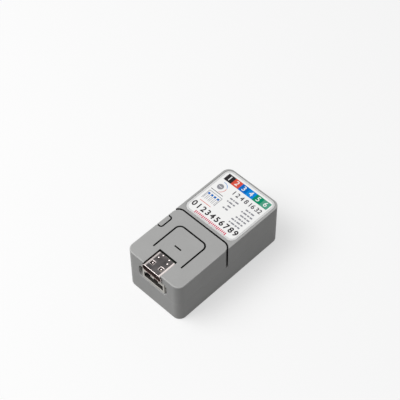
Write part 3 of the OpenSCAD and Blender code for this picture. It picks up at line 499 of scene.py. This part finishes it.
def onBend(spot, normal):  # the rounded sides of the top, painted with the lip's highlight as a reflection
    tilted = normal.z > upright and abs(normal.x) > portSize["bendTilt"]
    return tilted and spot.z > portSize["bendLow"] and spot.y > portSize["lipBack"]


def inThroat(spot, normal):  # faces that look towards the port's axis
    inward = normal.x * spot.x + normal.z * (spot.z - portSize["axis"]) < 0
    return inward and spot.y > portSize["mouthBack"] and abs(normal.y) < upright


def onFinger(spot, normal):
    low, high = portSize["finger"]
    return spot.y < portSize["fingerBack"] and low < spot.z < high and normal.z > portSize["fingerRise"]


portShell = liftCopy("data_port_shell", "dataPortShell", [portLipHighlight, portFingerShade, portThroatShade, portRimShade])
portShell.data.materials[0] = portNickelReflection
# the lip, window and rear edges and the bent sides are painted with the lip's bright highlight
roundEdges(portShell, portSize["lip"], 3, lambda p: p.y < portSize["front"], portPaint["lip"])
roundEdges(
    portShell, portSize["window"], 2,
    lambda p: p.z > portSize["windowTop"] and p.y < portSize["windowBack"], portPaint["lip"])
roundEdges(
    portShell, portSize["edge"], 2, lambda p: p.y > portSize["rear"] and p.z > portSize["rearLow"],
    portPaint["lip"])
paintFaces(portShell, portPaint["lip"], onBend)
# the lower lip, the throat and the fingers take painted shade
paintFaces(portShell, portPaint["rim"], lambda p, n: p.y < portSize["rimBack"] and p.z < portSize["rimTop"])
paintFaces(portShell, portPaint["throat"], inThroat)
paintFaces(portShell, portPaint["finger"], onFinger)
standIn(portShell, "data_port_shell")

portTongue = liftCopy("data_port_tongue", "dataPortTongue")
roundEdges(portTongue, portSize["tongue"], 2, lambda p: p.y < portSize["tongueFront"])
standIn(portTongue, "data_port_tongue")

# pressed dimples on the port's top and on its sunk spring fingers, painted bright as highlights, one modelled
# and the others copied
dimpleSize = {
    "radius": 0.3, "sides": 24, "rings": 12, "rise": 0.42, "base": -0.02, "near": 0.00001,
    "places": [(1.95, -18.98, 0), (1.36, -17.5, 0), (1.93, -21.68, 0.3)]}  # x, y, how far sunk
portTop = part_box("data_port_shell")[1].z / mm
bpy.ops.object.select_all(action="DESELECT")
bpy.ops.mesh.primitive_uv_sphere_add(
    segments=dimpleSize["sides"], ring_count=dimpleSize["rings"], radius=dimpleSize["radius"] * mm,
    location=(0, 0, 0))
dimple = bpy.context.active_object
bpy.ops.object.mode_set(mode="EDIT")
bpy.ops.mesh.select_all(action="SELECT")
bpy.ops.mesh.bisect(
    plane_co=(0, 0, dimpleSize["base"] * mm), plane_no=(0, 0, 1), use_fill=True, clear_inner=True,
    threshold=dimpleSize["near"] * mm)
bpy.ops.mesh.select_all(action="SELECT")
bpy.ops.transform.resize(value=(1, 1, dimpleSize["rise"]), center_override=(0, 0, 0))
bpy.ops.object.mode_set(mode="OBJECT")
dimple.data.materials.append(portLipHighlight)
dimples = []
for x, y, sunk in dimpleSize["places"]:
    for side in (-1, 1):
        pickOnly(dimple)
        bpy.ops.object.duplicate()
        bpy.ops.transform.translate(value=Vector((side * x, y, portTop - sunk)) * mm)
        bpy.ops.object.transform_apply(location=True, rotation=True, scale=True)
        dimples.append(bpy.context.active_object)
bpy.data.objects.remove(dimple)
pickOnly(dimples[0])
for copy in dimples:
    copy.select_set(True)
bpy.ops.object.join()
portDimples = bpy.context.active_object
portDimples.name = "portDimples"
portDimples.data.name = "portDimples"
smoothOff(portDimples)
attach(portDimples, "module")

# signal socket
socketSize = {"edge": 0.08, "front": -23.6, "half": 4.4, "top": 13, "back": 0.5}


# faces inside the socket, painted dark as shade
def inSocket(spot, normal):
    within = abs(spot.x) < socketSize["half"] and spot.z < socketSize["top"]
    return within and spot.y > socketSize["front"] and normal.y < socketSize["back"]


signalSocket = liftCopy("signal_socket", "signalSocket", [socketShade])
roundEdges(signalSocket, socketSize["edge"], 2, lambda p: p.y < socketSize["front"])
paintFaces(signalSocket, 1, inSocket)
standIn(signalSocket, "signal_socket")
print("front ports done")

# driver base
bodySize = {
    "low": (-12, -24), "high": (12, 24), "radius": 2.8, "rim": 0.2, "foot": 0.3, "hole": 0.08, "seam": 0.1,
    "front": 0.1, "frontHalf": 9.3, "recess": 0.05, "windowLow": 2, "windowHigh": 12, "gapFoot": 8.6,
    "gapEnd": 1}
labelSize = {
    "low": (-11.1, 1.275), "high": (11.1, 23.475), "radius": 2.4, "near": 0.15, "edge": 0.04,
    "edgeLow": 17.9, "flat": 0.99, "margin": 0.72, "middle": -3}


def onBody(spot):
    return abs(fromOutline(spot, bodySize)) < level["outline"]


def onLabel(spot):
    return abs(fromOutline(spot, labelSize)) < labelSize["near"]


def onWindow(spot):  # rims of the openings in the left side and the rear
    return onLeft(spot) or spot.y > bodySize["high"][1] - level["near"]


def onTrayRim(spot):
    rim = spot.z > level["seam"] - level["near"] or onWindow(spot)
    return rim and spot.z > bodySize["windowLow"] and onBody(spot)


def onShellRim(spot):
    rim = onSeam(spot) or level["seam"] < spot.z < bodySize["windowHigh"] and onWindow(spot)
    return rim and spot.y > 0 and onBody(spot)


def onBlockFront(spot):  # the tall block's upper edge along the gap to the controller
    return not onBody(spot) and not onLabel(spot) and abs(spot.x) < bodySize["frontHalf"]


# the block's wall along the gap, painted dark as shade
def inBlockGap(spot, normal):
    facing = isWall(normal) and normal.y < -upright
    return facing and spot.z > bodySize["gapFoot"] and spot.y < bodySize["gapEnd"]


baseTray = liftCopy("base_tray", "baseTray", [shellEdgeHighlight])
# the edge bevels are painted paler as a highlight
roundEdges(baseTray, bodySize["foot"], 3, lambda p: onFoot(p) and onBody(p), shellPaint["edge"])
roundEdges(baseTray, bodySize["hole"], 2, lambda p: onFoot(p) and not onBody(p), shellPaint["edge"])
roundEdges(baseTray, bodySize["seam"], 2, onTrayRim, shellPaint["edge"])
standIn(baseTray, "base_tray")

upperShell = liftCopy("upper_shell", "upperShell", [shellEdgeHighlight, slotShade])
# edges painted paler as a highlight; the label recess's edge painted as a thin dark line of shade
roundEdges(upperShell, bodySize["rim"], 3, lambda p: onTop(p) and onBody(p), shellPaint["edge"])
roundEdges(upperShell, bodySize["front"], 2, lambda p: onTop(p) and onBlockFront(p), shellPaint["edge"])
roundEdges(upperShell, bodySize["recess"], 2, lambda p: onTop(p) and onLabel(p), shellPaint["slot"])
roundEdges(upperShell, bodySize["seam"], 2, onShellRim, shellPaint["edge"])
paintFaces(upperShell, shellPaint["slot"], inBlockGap)
standIn(upperShell, "upper_shell")
print("base shells done")

# label film: the whole top is margin, and its inset middle takes the film's own white again
labelFilm = liftCopy("label", "labelFilm", [labelMargin])
roundEdges(labelFilm, labelSize["edge"], 2, lambda p: p.z > labelSize["edgeLow"], 1)
paintFaces(labelFilm, 1, lambda p, n: n.z > labelSize["flat"])
bpy.ops.object.mode_set(mode="EDIT")
bpy.ops.mesh.inset(thickness=labelSize["margin"] * mm)  # the top face is still picked
bpy.ops.object.mode_set(mode="OBJECT")
paintFaces(
    labelFilm, 0,
    lambda p, n: n.z > labelSize["flat"] and fromOutline(p, labelSize) < labelSize["middle"])
standIn(labelFilm, "label")

# the label's print, in mm; over is the lift of print on print
inkSize = {
    "lift": 17.945, "thick": 0.014, "over": 0.006, "weld": 0.001, "strikes": 8, "strikeLift": 0.001,
    "capital": 0.7, "curveSteps": 8, "cornerSteps": 3, "arcSteps": 14}
inks = {
    "inkBlack": (tone(34, 31, 34), tone(56, 52, 55)), "inkRed": (tone(230, 92, 72), tone(212, 74, 58)),
    "inkBlue": (tone(2, 116, 206), tone(0, 100, 188)), "inkSky": (tone(14, 146, 232), tone(8, 126, 212)),
    "inkGreen": (tone(10, 152, 112), tone(4, 134, 96)), "inkSage": (tone(92, 172, 144), tone(74, 152, 126)),
    "inkWhite": (tone(250, 250, 250), tone(240, 240, 240)), "inkRose": (tone(222, 46, 92), tone(204, 36, 78)),
    "inkSlate": (tone(66, 62, 70), tone(88, 84, 90)), "inkGrey": (tone(138, 138, 145), tone(160, 160, 166))}
sheets = {}  # the plates of each ink


# lifts the flat faces of the plate in hand by the ink's thickness
def thicken(ink, plate):
    bpy.ops.mesh.select_all(action="SELECT")
    bpy.ops.mesh.extrude_region_move(TRANSFORM_OT_translate={"value": (0, 0, inkSize["thick"] * mm)})
    bpy.ops.mesh.select_all(action="SELECT")
    bpy.ops.mesh.normals_make_consistent(inside=False)
    bpy.ops.object.mode_set(mode="OBJECT")
    sheets.setdefault(ink, []).append(plate)


# every bar of one ink is drawn in one mesh, with small round corners
def printBars(ink, bars, corner, lift=0.0):
    z = (inkSize["lift"] + lift) * mm
    bpy.ops.object.select_all(action="DESELECT")
    bpy.ops.mesh.primitive_plane_add(size=mm, location=(0, 0, 0))
    plate = bpy.context.active_object
    bpy.ops.object.mode_set(mode="EDIT")
    bpy.ops.mesh.select_all(action="SELECT")
    bpy.ops.mesh.delete(type="VERT")
    for x0, y0, x1, y1 in bars:
        middle = ((x0 + x1) / 2 * mm, (y0 + y1) / 2 * mm, z)
        bpy.ops.mesh.select_all(action="DESELECT")
        bpy.ops.mesh.primitive_plane_add(size=mm, location=middle)
        bpy.ops.transform.resize(value=(x1 - x0, y1 - y0, 1), center_override=middle)
    bpy.ops.mesh.select_all(action="SELECT")
    bpy.ops.mesh.bevel(
        offset=corner * mm, segments=inkSize["cornerSteps"], affect="VERTICES", clamp_overlap=True)
    thicken(ink, plate)


# plain numbers, made a mesh before their place is applied; each is struck round a small ring to be bold
def printNumber(ink, text, x, y, height, bold, lift=0.0):
    for strike in range(inkSize["strikes"]):
        turn = math.radians(360 / inkSize["strikes"] * strike)
        place = Vector((x + bold * math.cos(turn), y + bold * math.sin(turn), 0))
        place.z = inkSize["lift"] + inkSize["thick"] / 2 + lift + strike * inkSize["strikeLift"]
        bpy.ops.object.select_all(action="DESELECT")
        bpy.ops.object.text_add(location=place * mm)
        number = bpy.context.active_object
        number.data.body = text
        number.data.size = height / inkSize["capital"] * mm
        number.data.align_x = "CENTER"
        number.data.align_y = "CENTER"
        number.data.extrude = inkSize["thick"] / 2 * mm
        number.data.resolution_u = inkSize["curveSteps"]
        bpy.ops.object.convert(target="MESH")
        bpy.ops.object.mode_set(mode="EDIT")
        bpy.ops.mesh.select_all(action="SELECT")
        bpy.ops.mesh.remove_doubles(threshold=inkSize["weld"] * mm)
        bpy.ops.object.mode_set(mode="OBJECT")
        bpy.ops.object.transform_apply(location=True, rotation=True, scale=True)
        sheets.setdefault(ink, []).append(bpy.context.active_object)


# a round spot: a filled disc, thickened
def printDisc(ink, x, y, radius, sides, lift=0.0):
    place = Vector((x, y, inkSize["lift"] + lift)) * mm
    bpy.ops.object.select_all(action="DESELECT")
    bpy.ops.mesh.primitive_circle_add(vertices=sides, radius=radius * mm, fill_type="NGON", location=place)
    disc = bpy.context.active_object
    bpy.ops.object.mode_set(mode="EDIT")
    thicken(ink, disc)
    bpy.ops.object.transform_apply(location=True, rotation=True, scale=True)


# an arc is spun from one short edge
def printArc(ink, x, y, inner, outer, start, sweep):
    hub = (x * mm, y * mm, inkSize["lift"] * mm)
    bpy.ops.object.select_all(action="DESELECT")
    bpy.ops.mesh.primitive_plane_add(size=mm, location=(0, 0, 0))
    arc = bpy.context.active_object
    bpy.ops.object.mode_set(mode="EDIT")
    bpy.ops.mesh.select_all(action="SELECT")
    bpy.ops.transform.resize(value=(outer - inner, 0, 1), center_override=(0, 0, 0))
    bpy.ops.mesh.remove_doubles(threshold=inkSize["weld"] * mm)  # one short edge is left
    bpy.ops.transform.translate(value=(hub[0] + (inner + outer) / 2 * mm, hub[1], hub[2]))
    bpy.ops.transform.rotate(value=-math.radians(start), orient_axis="Z", center_override=hub)
    bpy.ops.mesh.spin(
        steps=inkSize["arcSteps"], angle=-math.radians(sweep), center=hub, axis=(0, 0, 1))
    thicken(ink, arc)


# six coloured cells with a number in each
cellLine = {
    "left": -9.5, "pitch": 3.23, "low": 18.9, "high": 22.0, "corner": 0.05,
    "x": 1.6, "y": 20.45, "height": 2.0, "bold": 0.04}
for i, ink in enumerate(["inkBlack", "inkRed", "inkBlue", "inkSky", "inkGreen", "inkSage"]):
    left = cellLine["left"] + i * cellLine["pitch"]
    printBars(ink, [(left, cellLine["low"], left + cellLine["pitch"], cellLine["high"])], cellLine["corner"])
    printNumber(
        "inkWhite", str(i + 1), left + cellLine["x"], cellLine["y"], cellLine["height"], cellLine["bold"],
        inkSize["over"])
# the large line, and the line under the cells
largeLine = {"left": -9.25, "pitch": 2.06, "y": 4.75, "height": 2.2, "bold": 0.09}
for i in range(10):
    printNumber(
        "inkBlack", str(i), largeLine["left"] + i * largeLine["pitch"], largeLine["y"], largeLine["height"],
        largeLine["bold"])
middleLine = {
    "numbers": [("1", -2.6), ("2", -0.9), ("4", 1.0), ("8", 2.9), ("16", 5.3), ("32", 8.3)],
    "y": 16.85, "height": 1.8, "bold": 0.045}
for text, x in middleLine["numbers"]:
    printNumber("inkSlate", text, x, middleLine["y"], middleLine["height"], middleLine["bold"])
# a rose scale under the large line: every fifth tick is long
tickLine = {
    "left": -6.73, "right": -6.37, "pitch": 0.675, "count": 21, "long": 5, "low": 2.1, "longLow": 1.85,
    "high": 3.0, "corner": 0.08}
ticks = []
for i in range(tickLine["count"]):
    low = tickLine["low"] if i % tickLine["long"] else tickLine["longLow"]
    step = i * tickLine["pitch"]
    ticks.append((tickLine["left"] + step, low, tickLine["right"] + step, tickLine["high"]))
printBars("inkRose", ticks, tickLine["corner"])
# small print is only broken grey lines
smallPrint = {
    "rows": [  # from x, to x, y
        (-2.1, 2.0, 14.4), (-2.1, 1.5, 12.95), (-0.6, 0.9, 11.5), (-1.4, 1.3, 10.05), (5.0, 8.7, 14.4),
        (4.4, 9.2, 12.95), (5.2, 9.4, 11.5), (4.6, 9.1, 10.05), (4.0, 9.4, 8.6), (4.2, 8.9, 7.15)],
    "runs": (1.15, 0.6, 1.5, 0.85), "space": 0.27, "least": 0.3, "half": 0.3, "corner": 0.16}
dashes = []
for row, (x, end, y) in enumerate(smallPrint["rows"]):
    step = row
    while x < end - smallPrint["least"]:
        run = min(smallPrint["runs"][step % len(smallPrint["runs"])], end - x)
        dashes.append((x, y - smallPrint["half"], x + run, y + smallPrint["half"]))
        x += run + smallPrint["space"]
        step += 1
printBars("inkGrey", dashes, smallPrint["corner"])
# a dial with two arcs, and a line under it
dialSign = {
    "x": -7.8, "y": 15.7, "radius": 1.2, "sides": 28, "inner": 2.2, "outer": 2.38, "sweep": 80,
    "arcs": [("inkSky", 20), ("inkRed", -65)], "bar": (-8.5, 15.6, -7.1, 15.8),
    "line": (-9.8, 13.1, -4.3, 13.32), "corner": 0.06}
printBars("inkSlate", [dialSign["line"]], dialSign["corner"])
printDisc("inkGrey", dialSign["x"], dialSign["y"], dialSign["radius"], dialSign["sides"])
printBars("inkWhite", [dialSign["bar"]], dialSign["corner"], inkSize["over"])
for ink, start in dialSign["arcs"]:
    printArc(
        ink, dialSign["x"], dialSign["y"], dialSign["inner"], dialSign["outer"], start, dialSign["sweep"])
# a switch: a frame, four slots with a blue knob each, and a red line under them
switchSign = {
    "frame": [(-9.5, 8.2, -9.3, 12.1), (-3.8, 8.2, -3.6, 12.1), (-9.5, 12.15, -3.6, 12.35)],
    "slots": (-8.63, -7.24, -5.93, -4.55), "inner": 0.3, "outer": 0.46, "low": 8.4, "high": 11.6,
    "corner": 0.02, "knob": 0.42, "knobY": 11.1, "sides": 20, "line": (-9.0, 7.05, -4.2, 7.25),
    "lineCorner": 0.06}
frameBars = list(switchSign["frame"])
for x in switchSign["slots"]:
    low, high = switchSign["low"], switchSign["high"]
    frameBars += [
        (x - switchSign["outer"], low, x - switchSign["inner"], high),
        (x + switchSign["inner"], low, x + switchSign["outer"], high)]
    printDisc("inkBlue", x, switchSign["knobY"], switchSign["knob"], switchSign["sides"], inkSize["over"])
printBars("inkGrey", frameBars, switchSign["corner"])
printBars("inkRed", [switchSign["line"]], switchSign["lineCorner"])

for ink, plates in sheets.items():
    bpy.ops.object.select_all(action="DESELECT")
    for plate in plates:
        plate.select_set(True)
    bpy.context.view_layer.objects.active = plates[0]
    if len(plates) > 1:
        bpy.ops.object.join()
    sheet = bpy.context.active_object
    sheet.name = ink
    sheet.data.name = ink
    sheet.data.materials.clear()
    sheet.data.materials.append(printInk(ink, inkLook, *inks[ink]))
    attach(sheet, "module")
print("label printed,", len(sheets), "inks")

# terminal, switch, trimmer and screws: node, name, rounding, steps, and which edges show
sliders = [("step_slider_%d" % i, "stepSlider%d" % i, 0.12, 3, lambda p: p.x < -10.9) for i in range(1, 5)]
fittings = [
    ("terminal_housing", "terminalHousing", 0.12, 2, lambda p: p.y > 22),
    ("terminal_pins", "terminalPins", 0.2, 2, lambda p: p.y > 19.4),
    ("step_switch", "stepSwitch", 0.05, 2, lambda p: p.x < -10.3),
    *sliders,
    ("trimmer_body", "trimmerBody", 0.1, 2, None),
    ("trimmer_rotor", "trimmerRotor", 0.06, 2, lambda p: p.x < -10.9),
    ("hub_screw", "hubScrew", 0.1, 2, lambda p: p.z < 0.6),
    ("shell_screws", "shellScrews", 0.05, 2, lambda p: p.z < 0.2)]
for node, name, width, steps, shows in fittings:
    fitting = liftCopy(node, name)
    roundEdges(fitting, width, steps, shows)
    standIn(fitting, node)
print("terminal, controls and screws done")

# the pieces inside keep their CAD shape and take the finish of their slot; the signal lugs take the port
# lip's bright painted highlight
for node, solid in frame["nodes"].items():
    if not solid.hide_render:
        solid.data.materials.clear()
        solid.data.materials.append(portLipHighlight if node == "signal_lugs" else finish[slotOf[node]])

# floor, sky and key light, in metres
stageLook = {
    "floorSize": 8, "floorDrop": 0.00003, "pale": (0.97, 0.97, 0.97, 1), "bounce": (0.3, 0.3, 0.3, 1),
    "lift": 0.55, "white": (1, 1, 1, 1), "sky": 0.35,
    "keyPlace": (-0.3, -0.34, 0.7), "keyAim": (0, 0, 0.01), "keySize": 0.6, "keyPower": 5.4}
bpy.ops.object.select_all(action="DESELECT")
bpy.ops.mesh.primitive_plane_add(size=stageLook["floorSize"], location=(0, 0, -stageLook["floorDrop"]))
floor = bpy.context.active_object
floor.name = "studioFloor"
floorPaint = Paint(bpy.data.materials.new("studioFloor"), textured=False)
seen, mirrored, through = floorPaint.rays()
paper = floorPaint.node("ShaderNodeBsdfDiffuse", {}, {
    "Color": floorPaint.blend(seen, stageLook["bounce"], stageLook["pale"])})
white = floorPaint.node("ShaderNodeEmission", {}, {"Color": stageLook["white"], "Strength": 1.0})
ground = floorPaint.node("ShaderNodeMixShader", {}, {
    0: (seen + mirrored + through) * stageLook["lift"], 1: paper, 2: white})
floorPaint.node("ShaderNodeOutputMaterial", {}, {"Surface": ground})
floor.data.materials.append(floorPaint.owner)

skyPaint = Paint(bpy.data.worlds.new("studioSky"), textured=False)
bpy.context.scene.world = skyPaint.owner
seen, mirrored, through = skyPaint.rays()
glow = skyPaint.node("ShaderNodeBackground", {}, {"Color": stageLook["white"], "Strength": stageLook["sky"]})
plain = skyPaint.node("ShaderNodeBackground", {}, {"Color": stageLook["white"], "Strength": 1.0})
mixed = skyPaint.node("ShaderNodeMixShader", {}, {0: seen + mirrored + through, 1: glow, 2: plain})
skyPaint.node("ShaderNodeOutputWorld", {}, {"Surface": mixed})

bpy.ops.object.light_add(type="AREA", location=stageLook["keyPlace"])
keyLamp = bpy.context.active_object
keyLamp.name = "keyLamp"
keyLamp.data.shape = "SQUARE"
keyLamp.data.size = stageLook["keySize"]
keyLamp.data.energy = stageLook["keyPower"]
aim = Vector(stageLook["keyAim"]) - Vector(stageLook["keyPlace"])
keyLamp.rotation_euler = aim.to_track_quat("-Z", "Y").to_euler()

# camera, fitted to the edges of the top: angles in degrees, places in mm, focal length in pixels
view = {
    "azimuth": 45.12, "elevation": 51.57, "roll": -0.85, "distance": 399.3, "shift": (1.467, -8.59),
    "focal": 1220.1, "picture": 400, "sensor": 36, "clip": 0.01}
azimuth, elevation, roll = (math.radians(view[key]) for key in ("azimuth", "elevation", "roll"))
ahead = Vector((math.sin(azimuth), -math.cos(azimuth), 0))
back = ahead * math.cos(elevation) + Vector((0, 0, math.sin(elevation)))
aside = Vector((math.cos(azimuth), math.sin(azimuth), 0))
rise = back.cross(aside)
right = aside * math.cos(roll) + rise * math.sin(roll)
up = rise * math.cos(roll) - aside * math.sin(roll)
middle = Vector((0, 0, level["top"])) - right * view["shift"][0] - up * view["shift"][1]
bpy.ops.object.camera_add()
camera = bpy.context.active_object
camera.name = "photoCamera"
camera.data.sensor_width = view["sensor"]
camera.data.lens = view["sensor"] * view["focal"] / view["picture"]
camera.data.clip_start = view["clip"]
stand = Matrix.Translation((middle + back * view["distance"]) * mm)
camera.matrix_world = stand @ Matrix((right, up, back)).transposed().to_4x4()
bpy.context.scene.camera = camera
print("stage set")
